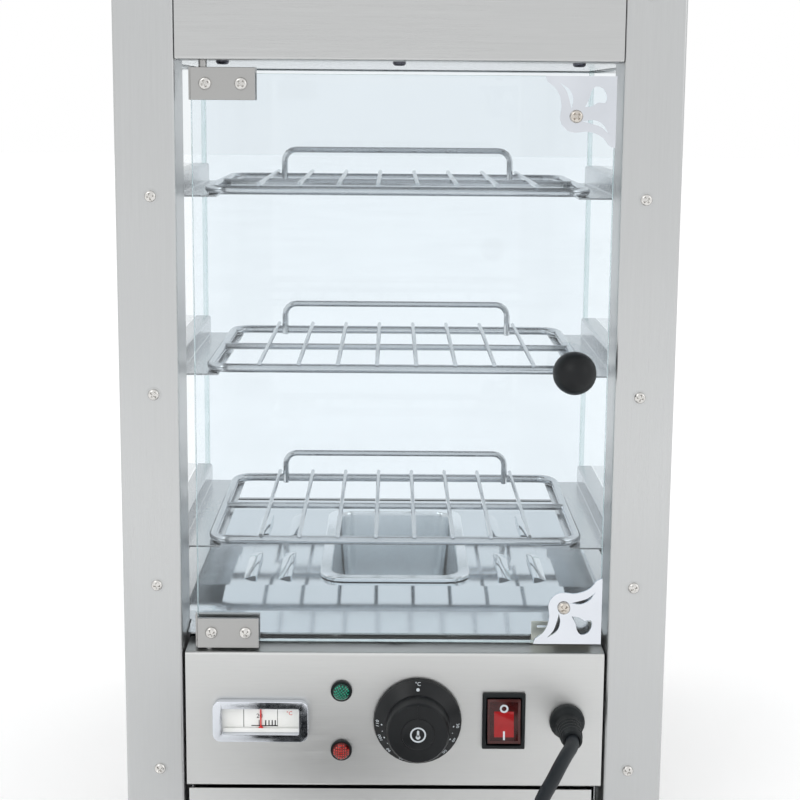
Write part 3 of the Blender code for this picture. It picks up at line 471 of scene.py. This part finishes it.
class Solid:
    """Collects closed shapes, each given in a frame of its own, into one piece."""

    def __init__(self):
        self.bm = bmesh.new()

    def verts(self, points, place):
        return [self.bm.verts.new(place @ Vector(p)) for p in points]

    def bridge(self, low, high):
        for i in range(len(low)):
            j = (i + 1) % len(low)
            self.bm.faces.new((low[i], low[j], high[j], high[i]))

    def circle(self, radius, height, place, steps):
        turns = [math.tau * i / steps for i in range(steps)]
        return self.verts([(radius * math.cos(t), radius * math.sin(t), height) for t in turns], place)

    def prism(self, outline, near, far, place):
        low = self.verts([(x, y, near) for x, y in outline], place)
        high = self.verts([(x, y, far) for x, y in outline], place)
        self.bridge(low, high)
        self.bm.faces.new(low[::-1])
        self.bm.faces.new(high)

    def block(self, low, high, place):
        outline = ((low[0], low[1]), (high[0], low[1]), (high[0], high[1]), (low[0], high[1]))
        self.prism(outline, low[2], high[2], place)

    def lathe(self, profile, place, steps=24):
        """Turns (radius, height) points about the frame's z; a zero radius at an end closes it."""
        rings = []
        for radius, height in profile:
            if radius == 0:
                rings.append(self.verts([(0, 0, height)], place))
            else:
                rings.append(self.circle(radius, height, place, steps))
        pairs = list(zip(rings, rings[1:]))
        if len(rings[0]) > 1 and len(rings[-1]) > 1:
            pairs.append((rings[-1], rings[0]))
        for low, high in pairs:
            for i in range(steps):
                j = (i + 1) % steps
                if len(low) == 1:
                    self.bm.faces.new((low[0], high[j], high[i]))
                elif len(high) == 1:
                    self.bm.faces.new((low[i], low[j], high[0]))
                else:
                    self.bm.faces.new((low[i], low[j], high[j], high[i]))

    def disc(self, radius, near, far, place, steps=16):
        self.lathe([(0, near), (radius, near), (radius, far), (0, far)], place, steps)

    def ring(self, outer, inner, near, far, place):
        self.lathe([(inner, near), (outer, near), (outer, far), (inner, far)], place, 32)

    def screw_head(self, radius, height, place):
        """A domed head with a cross recess."""
        dome = ((1, 0.3), (0.93, 0.62), (0.80, 0.86), (0.66, 1))
        rings = [self.circle(radius, -0.1, place, 24)]
        rings += [self.circle(radius * share, height * level, place, 24) for share, level in dome]
        for low, high in zip(rings, rings[1:]):
            self.bridge(low, high)
        self.bm.faces.new(rings[0][::-1])
        long, short, taper = radius * 0.62, radius * 0.15, 0.62
        outline = []
        for quarter in range(4):
            cos, sin = math.cos(math.pi / 2 * quarter), math.sin(math.pi / 2 * quarter)
            for x, y in ((long, -short), (long, short), (short, short)):
                outline.append((x * cos - y * sin, x * sin + y * cos))
        brim = self.verts([(x, y, height) for x, y in outline], place)
        floor = self.verts([(x * taper, y * taper, height - radius * 0.26) for x, y in outline], place)
        edges = []
        for loop in (rings[-1], brim):
            for i in range(len(loop)):
                pair = (loop[i], loop[(i + 1) % len(loop)])
                edges.append(self.bm.edges.get(pair) or self.bm.edges.new(pair))
        bmesh.ops.triangle_fill(self.bm, edges=edges, use_beauty=True)
        self.bridge(brim, floor)
        self.bm.faces.new(floor)

    def text(self, words, size, near, far, place):
        """Raised lettering, centred on the frame's origin."""
        curve = bpy.data.curves.new("lettering", "FONT")
        curve.body = words
        curve.size = size
        curve.align_x = "CENTER"
        curve.align_y = "CENTER"
        curve.extrude = (far - near) / 2
        curve.resolution_u = 3
        letters = bpy.data.objects.new("lettering", curve)
        scene.collection.objects.link(letters)
        depsgraph = bpy.context.evaluated_depsgraph_get()
        mesh = bpy.data.meshes.new_from_object(letters.evaluated_get(depsgraph))
        mesh.transform(place @ Matrix.Translation((0, 0, (near + far) / 2)))
        self.bm.from_mesh(mesh)
        bpy.data.meshes.remove(mesh)
        bpy.data.objects.remove(letters)
        bpy.data.curves.remove(curve)

    def piece(self, name, look, body, slot):
        """Turns what was collected into an object that rides on a body."""
        bmesh.ops.remove_doubles(self.bm, verts=self.bm.verts, dist=1e-7)
        bmesh.ops.recalc_face_normals(self.bm, faces=self.bm.faces)
        mesh = bpy.data.meshes.new(name)
        self.bm.to_mesh(mesh)
        self.bm.free()
        mesh.materials.append(MATERIALS[look])
        mesh.shade_smooth()
        mesh.set_sharp_from_angle(angle=SHARP_FROM)
        obj = bpy.data.objects.new(name, mesh)
        scene.collection.objects.link(obj)
        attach(obj, body)


POST_SCREW_X = 153.2
POST_SCREW_LEVELS = (581.3, 456.6, 331.9, 207.2, 82.5)
HEADER_SCREW_ROW = (-110.0, 0.0, 112.0)
HEADER_SCREW_DEPTH, HEADER_UNDERSIDE = 19.0, 540.0
HINGE_SCREW_LEVELS, HINGE_SCREW_ROW, HINGE_FRONT = (525.7, 174.3), (-119.1, -97.1), 3.25
CORNER_SCREW_LEVELS, CORNER_SCREW_X, CORNER_PLATE_FRONT = (507.4, 192.1), 109.1, 3.6


def make_screws():
    """The screws, each turned differently, and the pressed seats of those in the posts."""
    heads, seats = Solid(), Solid()
    seat = [(0, -0.3), (4.9, -0.3), (4.6, 0.14), (3.4, 0.22), (0, 0.22)]
    for row, z in enumerate(POST_SCREW_LEVELS):
        for side in SIDES:
            x = side * POST_SCREW_X
            heads.screw_head(3.7, 1.9, facing(x, -0.1, z, 0.5 + 0.7 * row + side))
            seats.lathe(seat, facing(x, 0, z))
    heads.piece("post_screws", "screw", "cabinet", "brushed_steel")
    seats.piece("post_screw_seats", "post", "cabinet", "brushed_steel")
    dark = Solid()
    for x in HEADER_SCREW_ROW:
        dark.screw_head(4.2, 2.4, hanging(x, HEADER_SCREW_DEPTH, HEADER_UNDERSIDE))
    dark.piece("header_screws", "dark_screw", "cabinet", "plain_steel")
    hinge, corner = Solid(), Solid()
    for z in HINGE_SCREW_LEVELS:
        for x in HINGE_SCREW_ROW:
            hinge.screw_head(4.0, 2.0, facing(x, HINGE_FRONT, z, x * 0.3))
    hinge.piece("hinge_screws", "screw", "door", "plain_steel")
    for z in CORNER_SCREW_LEVELS:
        corner.screw_head(4.1, 2.2, facing(CORNER_SCREW_X, CORNER_PLATE_FRONT, z, 0.4 + z * 0.01))
    corner.piece("corner_plate_screws", "warm_screw", "door", "chrome")


DIAL_CARD_DEPTH = 0.9
# The left, right, bottom and top of each printed line, from the middle of the dial
SCALE_LINES = (
    (-11.4, -11.0, -5.6, 7.0), (10.7, 11.0, -5.0, 7.0), (2.7, 3.5, -4.6, -0.8), (4.9, 5.6, -4.8, -0.8),
    (7.0, 7.7, -4.8, -0.8), (8.9, 9.7, -4.8, -0.8), (-1.4, -0.9, -4.6, -0.8), (-6.2, 0.4, -4.8, -4.2),
    (0.4, 5.0, -5.0, -4.3), (5.0, 11.0, -4.9, -4.2),
)


def make_thermometer_marks():
    """The scale and the unit on the dial card, and the strip over the needle's pivot."""
    x, z, depth = THERMOMETER_X, CONTROL_Z, DIAL_CARD_DEPTH
    black, red, cover = Solid(), Solid(), Solid()
    place = facing(x, depth, z)
    for left, right, low, high in SCALE_LINES:
        black.block((left, low, -0.05), (right, high, 0.06), place)
    black.text("20", 4.2, -0.03, 0.06, facing(x - 0.9, depth, z + 2.0))
    black.piece("thermometer_scale", "ink", "cabinet", "dial_white")
    cover.block((-24.8, -8.5, 1.3), (24.8, -5.7, 1.7), place)
    cover.piece("thermometer_cover", "card", "cabinet", "dial_white")
    red.text("°C", 3.6, -0.03, 0.06, facing(x + 18.6, depth, z + 3.9))
    red.piece("thermometer_unit", "needle", "cabinet", "dial_white")


# The lens of a pilot light in (radius, height) points, as in the part
LENS_DOME = ((0.0, 5.2), (3.2, 4.6), (5.4, 2.6), (5.9, 0.7))
PYRAMID_PITCH, PYRAMID_HALF, PYRAMID_HEIGHT, PYRAMID_REACH = 1.5, 0.6, 0.5, 5.3


def lens_height(x, y):
    radius = math.hypot(x, y)
    for (r0, h0), (r1, h1) in zip(LENS_DOME, LENS_DOME[1:]):
        if radius <= r1:
            return h0 + (h1 - h0) * (radius - r0) / (r1 - r0)
    return LENS_DOME[-1][1]


def make_pilot_lenses():
    """A black rim and a lens pressed with small pyramids, on each pilot light."""
    rims = Solid()
    rim = [(5.7, -0.4), (6.9, -0.4), (7.0, 0.9), (6.5, 1.6), (5.7, 1.5)]
    for name, z, turn in (("green", PILOT_GREEN_Z, 0.6), ("red", PILOT_RED_Z, 0.0)):
        place = facing(PILOT_X, 0, z, turn)
        rims.lathe(rim, place, 32)
        facets = Solid()
        for i in range(-4, 5):
            for j in range(-4, 5):
                x, y = i * PYRAMID_PITCH, j * PYRAMID_PITCH
                if math.hypot(x, y) > PYRAMID_REACH:
                    continue
                base = [(x + a * PYRAMID_HALF, y + b * PYRAMID_HALF)
                        for a, b in ((-1, -1), (1, -1), (1, 1), (-1, 1))]
                low = facets.verts([(a, b, lens_height(a, b) - 0.15) for a, b in base], place)
                top = facets.verts([(x, y, lens_height(x, y) + PYRAMID_HEIGHT)], place)[0]
                facets.bm.faces.new(low[::-1])
                for k in range(4):
                    facets.bm.faces.new((low[k], low[(k + 1) % 4], top))
        facets.piece(f"pilot_{name}_facets", name, "cabinet", f"{name}_lens")
    rims.piece("pilot_rims", "housing", "cabinet", "black_plastic")


# The knob's sloping skirt: its edge and top as (radius, height), and its slope as (out, back)
SKIRT_EDGE, SKIRT_TOP = (28.3, 3.2), (22.2, 7.4)
SKIRT_SLOPE = (0.82, 0.57)
KNOB_FRONT = -21.6
DIAL_START, DIAL_STEP = 357.0, 22.1
INK_SUNK, INK_PROUD = -0.02, 0.07


def on_skirt(turn, radius):
    """A frame on the sloping skirt, with its y pointing away from the middle."""
    share = (SKIRT_EDGE[0] - radius) / (SKIRT_EDGE[0] - SKIRT_TOP[0])
    out = SKIRT_EDGE[1] + (SKIRT_TOP[1] - SKIRT_EDGE[1]) * share
    radial = Vector((math.cos(turn), 0, math.sin(turn)))
    front = Vector((0, -1, 0))
    up = (radial * SKIRT_SLOPE[0] - front * SKIRT_SLOPE[1]).normalized()
    normal = (radial * SKIRT_SLOPE[1] + front * SKIRT_SLOPE[0]).normalized()
    axes = Matrix((up.cross(normal), up, normal)).transposed().to_4x4()
    place = at(THERMOSTAT_X, 0, CONTROL_Z) + (radial * radius + front * out) * MM
    return Matrix.Translation(place) @ axes @ Matrix.Scale(MM, 4)


def make_thermostat_marks():
    """The dial's numbers from 30 to 110 with their dots, and a thermometer sign on the grip's cap."""
    x, z = THERMOSTAT_X, CONTROL_Z
    white, grip = Solid(), Solid()
    last = 8
    for k in range(last + 1):
        turn = math.radians(DIAL_START - DIAL_STEP * k)
        white.text(str(30 + 10 * k), 3.3, INK_SUNK, INK_PROUD, on_skirt(turn, 26.0))
        white.disc(0.55, INK_SUNK, INK_PROUD, on_skirt(turn, 23.3), 10)
        if k < last:
            half = turn - math.radians(DIAL_STEP / 2)
            white.disc(0.35, INK_SUNK, INK_PROUD, on_skirt(half, 23.3), 8)
    top = math.radians(90.0)
    white.disc(1.1, INK_SUNK, 0.08, on_skirt(top, 23.6))
    white.text("°C", 3.4, INK_SUNK, INK_PROUD, on_skirt(top, 26.6))
    cap_front = KNOB_FRONT - 0.5
    face = facing(x, cap_front, z)
    white.ring(5.1, 4.1, -0.1, 0.08, face)
    white.disc(1.5, -0.1, 0.08, facing(x, cap_front, z - 1.5))
    turns = [i * math.pi / 6 for i in range(7)]
    round_end = [(0.75 * math.cos(turn), 2.2 + 0.75 * math.sin(turn)) for turn in turns]
    white.prism([(0.75, -1.4)] + round_end + [(-0.75, -1.4)], -0.1, 0.08, face)
    white.piece("thermostat_marks", "white_ink", "thermostat_dial", "black_plastic")
    cap = [(0, -0.2), (10.6, -0.2), (10.4, 0.25), (9.8, 0.5), (0, 0.5)]
    grip.lathe(cap, facing(x, KNOB_FRONT, z), 48)
    mark = [(-0.35, 10.0), (0.35, 10.0), (0.35, 19.2), (-0.35, 19.2)]
    grip.prism(mark, -0.2, 0.4, facing(x, -21.3, z))
    grip.piece("thermostat_cap", "dial", "thermostat_dial", "black_plastic")


ROCKER_PIVOT_DEPTH = 5.0
ROCKER_TILT = math.radians(8)
ROCKER_HALF_HEIGHT = 14.6
ROCKER_MIDDLE_OUT = 2.2
ROCKER_END_RISE = 1.8
# The left, bottom, right and top of each side of the rocker's raised rim
ROCKER_LIP = ((-10.7, -14.3, 10.7, -12.6), (-10.7, 12.6, 10.7, 14.3),
              (-10.7, -12.6, -9.1, 12.6), (9.1, -12.6, 10.7, 12.6))


def rocker_surface(height, out=0.0):
    """Depth and height of a point on the rocker's face, from its height on the untilted rocker."""
    end_rise = ROCKER_END_RISE * abs(height) / ROCKER_HALF_HEIGHT
    reach = -ROCKER_MIDDLE_OUT - end_rise - out - ROCKER_PIVOT_DEPTH
    return (ROCKER_PIVOT_DEPTH + reach * math.cos(ROCKER_TILT) + height * math.sin(ROCKER_TILT),
            CONTROL_Z + height * math.cos(ROCKER_TILT) - reach * math.sin(ROCKER_TILT))


def on_rocker(height):
    """A frame on the rocker's face, with its y pointing up along the face."""
    depth0, z0 = rocker_surface(height - 0.5)
    depth1, z1 = rocker_surface(height + 0.5)
    up = Vector((0, depth1 - depth0, z1 - z0)).normalized()
    side = Vector((1, 0, 0))
    axes = Matrix((side, up, side.cross(up))).transposed().to_4x4()
    return Matrix.Translation(at(SWITCH_X, *rocker_surface(height))) @ axes @ Matrix.Scale(MM, 4)


def make_rocker_marks():
    """The rocker's window, its two signs and its raised rim, all following the bent face."""
    window, white, rim = Solid(), Solid(), Solid()
    loops = []
    for height in (-10.4, -5.0, 0.0, 6.2):
        a, b, c, d = (window.bm.verts.new(at(SWITCH_X + side, *rocker_surface(height, out)))
                      for side in (-6.4, 6.4) for out in (0.08, -0.5))
        loops.append([a, c, d, b])
    for low, high in zip(loops, loops[1:]):
        window.bridge(low, high)
    window.bm.faces.new(loops[0])
    window.bm.faces.new(loops[-1])
    window.piece("rocker_window", "rocker_core", "rocker", "red_lens")
    white.ring(2.8, 1.6, -0.1, 0.14, on_rocker(8.1))
    white.block((-0.6, -2.8, -0.1), (0.6, 2.8, 0.16), on_rocker(-9.4))
    white.piece("rocker_marks", "white_ink", "rocker", "red_lens")
    for left, low, right, high in ROCKER_LIP:
        for start, end in ((low, min(high, 0.0)), (max(low, 0.0), high)):
            if end > start:
                section = ((start, 0.35), (start, -0.3), (end, -0.3), (end, 0.35))
                corners = [rocker_surface(*point) for point in section]
                near = [rim.bm.verts.new(at(SWITCH_X + left, *corner)) for corner in corners]
                far = [rim.bm.verts.new(at(SWITCH_X + right, *corner)) for corner in corners]
                rim.bridge(near, far)
                rim.bm.faces.new(near[::-1])
                rim.bm.faces.new(far)
    rim.piece("rocker_rim", "rocker_rim", "rocker", "red_lens")


def make_gland_boot():
    """The ribbed rubber sleeve around the cord in front of the gland."""
    boot = Solid()
    profile = [(4.7, 12.0), (7.9, 12.0), (7.9, 13.0), (7.3, 13.4), (7.3, 15.2), (7.7, 15.6), (7.7, 16.6),
               (7.1, 17.0), (7.1, 19.0), (7.5, 19.4), (7.5, 20.4), (6.9, 20.8), (6.9, 22.8), (7.2, 23.2),
               (7.2, 24.2), (6.7, 24.6), (6.4, 29.4), (6.0, 30.0), (4.7, 30.0)]
    boot.lathe(profile, facing(GLAND_X, 0, CONTROL_Z), 32)
    boot.piece("gland_boot", "housing", "cabinet", "black_plastic")


LOUVRE_ROWS = ((-100.0, -1), (-75.0, -1), (75.0, 1), (100.0, 1))
LOUVRE_STARTS = (105.0, 207.0)
LOUVRE_LENGTH = 60
LOUVRE_STATIONS = 14
LOUVRE_BASE = 175.9
LOUVRE_MIDDLE = 3.8
# A hood's cross-section: how far from its slot's line, and the share of its rise
LOUVRE_SECTION = ((-1.1, 0.0), (-1.1, 0.75), (-0.7, 0.97), (0.6, 1.0),
                  (2.6, 0.88), (4.8, 0.62), (7.0, 0.28), (8.8, 0.0))


def louvre_outline(x, side, spread, base, rise):
    """The cross-section at one place, as points across and up."""
    return [(x + side * (LOUVRE_MIDDLE + (a - LOUVRE_MIDDLE) * spread), base + rise * b)
            for a, b in LOUVRE_SECTION]


def make_louvres():
    """Rounded pressed hoods over the slots, each with a dark block in its open end towards the front:
    painted shadow.
    """
    hoods, mouths = Solid(), Solid()
    for x, side in LOUVRE_ROWS:
        for start in LOUVRE_STARTS:
            rings = []
            for i in range(LOUVRE_STATIONS + 1):
                along = i / LOUVRE_STATIONS
                rise = 2.4 + 1.5 * math.sin(math.pi * min(along, 0.5)) if along < 0.75 else 3.9
                rise *= math.sqrt(max(1 - max((along - 0.72) / 0.28, 0) ** 2, 0.0)) + 0.02
                spread = 1 - 0.35 * max((along - 0.8) / 0.2, 0) ** 2
                depth = start + LOUVRE_LENGTH * along
                outline = louvre_outline(x, side, spread, LOUVRE_BASE, rise)
                rings.append([hoods.bm.verts.new(at(px, depth, pz)) for px, pz in outline])
            for low, high in zip(rings, rings[1:]):
                hoods.bridge(low, high)
            hoods.bm.faces.new(rings[0])
            hoods.bm.faces.new(rings[-1])
            # A dark prism in the hood's open end: painted shadow
            outline = louvre_outline(x, side, 0.82, LOUVRE_BASE + 0.05, 1.92)
            near = [mouths.bm.verts.new(at(px, start - 0.2, pz)) for px, pz in outline]
            far = [mouths.bm.verts.new(at(px, start + 0.3, pz)) for px, pz in outline]
            mouths.bridge(near, far)
            mouths.bm.faces.new(near)
            mouths.bm.faces.new(far[::-1])
    hoods.piece("louvre_hoods", "polished", "cabinet", "polished_steel")
    mouths.piece("louvre_mouths", "louvre_shadow", "cabinet", "polished_steel")


# Cord ------------------------------------------------------------------------------------------

CORD_DIAMETER = 8.6
CORD_ROUTE = (
    (112.5, -24.3, 116.5), (112.2, -31.5, 116.6), (110.6, -39.3, 116.8), (106.9, -48.9, 117.2),
    (101.7, -60.0, 115.1), (95.1, -71.3, 109.5), (87.9, -83.4, 103.7), (83.0, -96.2, 95.9),
    (78.5, -107.7, 85.5), (75.8, -117.7, 72.5), (74.0, -126.6, 57.9), (72.6, -136.0, 43.2),
    (70.4, -147.2, 29.6), (66.8, -160.6, 18.0), (61.2, -176.0, 9.4), (52.8, -191.6, 5.0),
    (41.4, -206.0, 4.5), (26.4, -218.8, 4.5), (9.6, -228.2, 4.5), (-4.0, -231.6, 4.5),
    (-17.0, -232.8, 4.5), (-29.5, -232.9, 4.4),
)
COIL_CENTRE = (-42.0, -183.6)
COIL_INNER = 40.6
COIL_OUTER = 49.3
COIL_PITCH = 8.7
COIL_FLOOR = 4.4
# Where each lane change starts and how long it takes, in degrees along the winding
LANE_CHANGES = (
    (262, 78, (COIL_INNER, 0)), (564, 58, (COIL_INNER, 1)), (846, 78, (COIL_OUTER, 1)),
    (1148, 58, (COIL_OUTER, 2)), (1430, 78, (COIL_INNER, 2)),
)
# Where the winding climbs out over its top turn and comes down outside it
HUMP = (1630, 1808)
PLUG_START = (-62.0, -242.2, 18.0)


def eased(share):
    share = min(max(share, 0.0), 1.0)
    return 2 * share * share if share < 0.5 else 1 - 2 * (1 - share) ** 2


def coil_point(angle):
    """The cord's middle at an angle along the winding, clockwise from the coil's front."""
    if angle < HUMP[0]:
        radius, layer = COIL_OUTER, 0.0
        for start, width, lane in LANE_CHANGES:
            share = eased((angle - start) / width)
            radius += (lane[0] - radius) * share
            layer += (lane[1] - layer) * share
        z = COIL_FLOOR + layer * COIL_PITCH
    else:
        share = (angle - HUMP[0]) / (HUMP[1] - HUMP[0])
        over = math.pi * (1 - eased(share))
        reach = COIL_PITCH + 0.2
        radius = COIL_OUTER + reach * math.cos(over)
        z = COIL_FLOOR + 2 * COIL_PITCH + reach * math.sin(over) - 3.0 * eased((share - 0.6) / 0.4)
    turn = math.radians(-90 - angle)
    return (COIL_CENTRE[0] + radius * math.cos(turn), COIL_CENTRE[1] + radius * math.sin(turn), z)


def smooth_through(points, steps):
    """Points of a smooth curve through a list, ends included."""
    path = [Vector(p) for p in points]
    path = [path[0] * 2 - path[1]] + path + [path[-1] * 2 - path[-2]]
    result = []
    for i in range(1, len(path) - 2):
        a, b, c, d = path[i - 1:i + 3]
        for k in range(steps):
            t = k / steps
            result.append(0.5 * (2 * b + (c - a) * t + (2 * a - 5 * b + 4 * c - d) * t * t
                                 + (3 * b - a - 3 * c + d) * t ** 3))
    result.append(path[-2])
    return result


def make_cord():
    """The whole cord, from the gland over the front and through the coil into the plug."""
    winding = [coil_point(angle) for angle in range(0, HUMP[1], 15)] + [coil_point(HUMP[1])]
    points = list(CORD_ROUTE) + winding
    x, depth, z = PLUG_START
    points += [PLUG_START, (x - 8.0, depth, z)]
    path = smooth_through(points, 3)
    curve = bpy.data.curves.new("cord", "CURVE")
    curve.dimensions = "3D"
    curve.bevel_depth = CORD_DIAMETER / 2 * MM
    curve.bevel_resolution = 4
    curve.use_fill_caps = True
    spline = curve.splines.new("POLY")
    spline.points.add(len(path) - 1)
    for point, where in zip(spline.points, path):
        point.co = (*at(*where), 1.0)
    spline.use_smooth = True
    curve.materials.append(MATERIALS["rubber"])
    cord = bpy.data.objects.new("cord", curve)
    scene.collection.objects.link(cord)
    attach(cord, "cabinet")
    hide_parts("power_cord", "cord_coil")


make_camera()
make_studio()
dress_nodes()
make_screws()
make_thermometer_marks()
make_pilot_lenses()
make_thermostat_marks()
make_rocker_marks()
make_gland_boot()
make_louvres()
make_cord()
